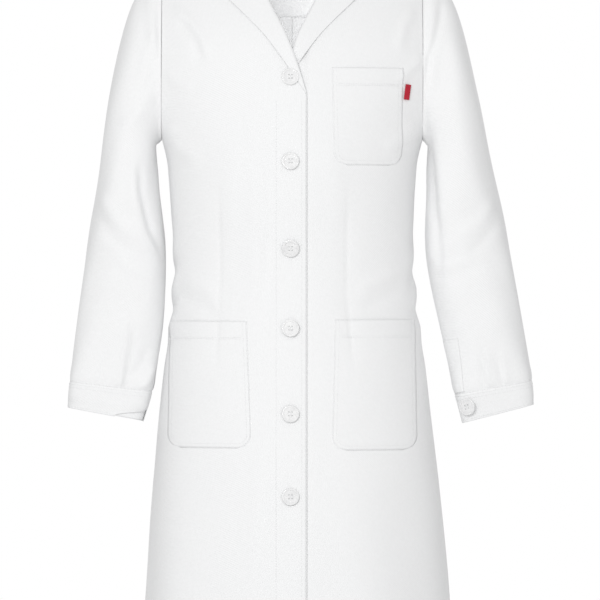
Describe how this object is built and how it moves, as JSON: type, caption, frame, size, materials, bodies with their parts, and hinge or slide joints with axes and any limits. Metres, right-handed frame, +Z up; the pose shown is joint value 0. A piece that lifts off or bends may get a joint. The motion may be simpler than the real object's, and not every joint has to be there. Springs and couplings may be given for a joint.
{
  "type": "lab coat",
  "caption": "Knee-length white lab coat with notched lapels, buttoned front, long cuffed sleeves, chest and patch pockets and a back vent, shaped as worn.",
  "frame": {"origin": "middle of the hanger loop's inner face at the back neck, where a hook bears", "axes": "+Z up along the coat's length, the front faces -Y, +X is the wearer's left"},
  "size_m": [0.621, 0.3, 1.019],
  "materials": {
    "coat_cloth": "white poplin, matt",
    "facing_cloth": "white poplin, matt",
    "button_plastic": "pearly translucent",
    "thread": "white polyester thread",
    "red_tab": "plain woven ribbon",
    "label_tape": "plain satin tape",
    "tape": "white cotton tape"
  },
  "bodies": {
    "coat": {"back_left_panel": "coat_cloth", "back_neck_facing": "facing_cloth", "back_right_panel": "coat_cloth", "chest_pocket": "coat_cloth", "collar_stand": "facing_cloth", "front_button_threads": "thread", "front_left_facing": "facing_cloth", "front_left_panel": "coat_cloth", "front_right_facing": "facing_cloth", "front_right_panel": "coat_cloth", "hanger_loop": "tape", "lapel_left": "coat_cloth", "lapel_right": "coat_cloth", "neck_label": "label_tape", "pocket_left": "coat_cloth", "pocket_right": "coat_cloth", "under_collar": "facing_cloth", "upper_collar": "coat_cloth"},
    "vent_flap": {"back_vent_flap": "coat_cloth"},
    "left_forearm": {"cuff_left": "coat_cloth", "cuff_left_facing": "facing_cloth", "cuff_left_thread": "thread", "sleeve_left_forearm": "coat_cloth", "sleeve_left_placket": "coat_cloth"},
    "left_cuff_button": {"cuff_left_button": "button_plastic"},
    "right_forearm": {"cuff_right": "coat_cloth", "cuff_right_facing": "facing_cloth", "cuff_right_thread": "thread", "sleeve_right_forearm": "coat_cloth", "sleeve_right_placket": "coat_cloth"},
    "right_cuff_button": {"cuff_right_button": "button_plastic"},
    "button_1": {"front_button_1": "button_plastic"},
    "button_2": {"front_button_2": "button_plastic"},
    "button_3": {"front_button_3": "button_plastic"},
    "button_4": {"front_button_4": "button_plastic"},
    "button_5": {"front_button_5": "button_plastic"},
    "button_6": {"front_button_6": "button_plastic"},
    "right_front_corner": {"front_right_corner": "coat_cloth", "front_right_corner_facing": "facing_cloth"},
    "red_tab": {"side_tab": "red_tab"},
    "left_sleeve": {"sleeve_left_upper": "coat_cloth"},
    "right_sleeve": {"sleeve_right_upper": "coat_cloth"}
  },
  "joints": [
    {"name": "right_sleeve_raise", "type": "hinge", "parent": "coat", "child": "right_sleeve", "pos_m": [-0.1763, -0.056, -0.039], "axis": [0, 1, 0], "range_deg": [0, 35]},
    {"name": "left_sleeve_raise", "type": "hinge", "parent": "coat", "child": "left_sleeve", "pos_m": [0.1763, -0.056, -0.039], "axis": [0, -1, 0], "range_deg": [0, 35]},
    {"name": "right_elbow_bend", "type": "hinge", "parent": "right_sleeve", "child": "right_forearm", "pos_m": [-0.2225, -0.1136, -0.4043], "axis": [-0.9861, 0, 0.1661], "range_deg": [0, 70]},
    {"name": "left_elbow_bend", "type": "hinge", "parent": "left_sleeve", "child": "left_forearm", "pos_m": [0.229, -0.1136, -0.4033], "axis": [-0.9869, 0, -0.1615], "range_deg": [0, 70]},
    {"name": "front_corner_open", "type": "hinge", "parent": "coat", "child": "right_front_corner", "pos_m": [0.02, -0.2025, -0.765], "axis": [-0.4471, -0.0231, -0.8942], "range_deg": [0, 60]},
    {"name": "back_vent_open", "type": "hinge", "parent": "coat", "child": "vent_flap", "pos_m": [0, 0.0775, -0.7], "axis": [0.3387, 0, -0.9409], "range_deg": [0, 45]},
    {"name": "button_1_tilt", "type": "hinge", "parent": "coat", "child": "button_1", "pos_m": [-0.002, -0.17144, -0.18076], "axis": [1, 0, 0], "range_deg": [-8, 8], "stiffness_Nm_per_rad": 0.02},
    {"name": "button_2_tilt", "type": "hinge", "parent": "coat", "child": "button_2", "pos_m": [-0.002, -0.18195, -0.29378], "axis": [1, 0, 0], "range_deg": [-8, 8], "stiffness_Nm_per_rad": 0.02},
    {"name": "button_3_tilt", "type": "hinge", "parent": "coat", "child": "button_3", "pos_m": [-0.002, -0.17402, -0.41019], "axis": [1, 0, 0], "range_deg": [-8, 8], "stiffness_Nm_per_rad": 0.02},
    {"name": "button_4_tilt", "type": "hinge", "parent": "coat", "child": "button_4", "pos_m": [-0.002, -0.18067, -0.51677], "axis": [1, 0, 0], "range_deg": [-8, 8], "stiffness_Nm_per_rad": 0.02},
    {"name": "button_5_tilt", "type": "hinge", "parent": "coat", "child": "button_5", "pos_m": [-0.002, -0.19124, -0.63078], "axis": [1, 0, 0], "range_deg": [-8, 8], "stiffness_Nm_per_rad": 0.02},
    {"name": "button_6_tilt", "type": "hinge", "parent": "coat", "child": "button_6", "pos_m": [-0.002, -0.20102, -0.74078], "axis": [1, 0, 0], "range_deg": [-8, 8], "stiffness_Nm_per_rad": 0.02},
    {"name": "right_cuff_button_tilt", "type": "hinge", "parent": "right_forearm", "child": "right_cuff_button", "pos_m": [-0.20819, -0.03697, -0.62103], "axis": [-0.8989, 0.4226, 0.1155], "range_deg": [-8, 8], "stiffness_Nm_per_rad": 0.02},
    {"name": "left_cuff_button_tilt", "type": "hinge", "parent": "left_forearm", "child": "left_cuff_button", "pos_m": [0.23607, -0.10003, -0.62279], "axis": [-0.8928, 0.4226, -0.156], "range_deg": [-8, 8], "stiffness_Nm_per_rad": 0.02},
    {"name": "red_tab_flip", "type": "hinge", "parent": "coat", "child": "red_tab", "pos_m": [0.15052, -0.13112, -0.1995], "axis": [0, 0, -1], "range_deg": [0, 60], "stiffness_Nm_per_rad": 0.001}
  ]
}
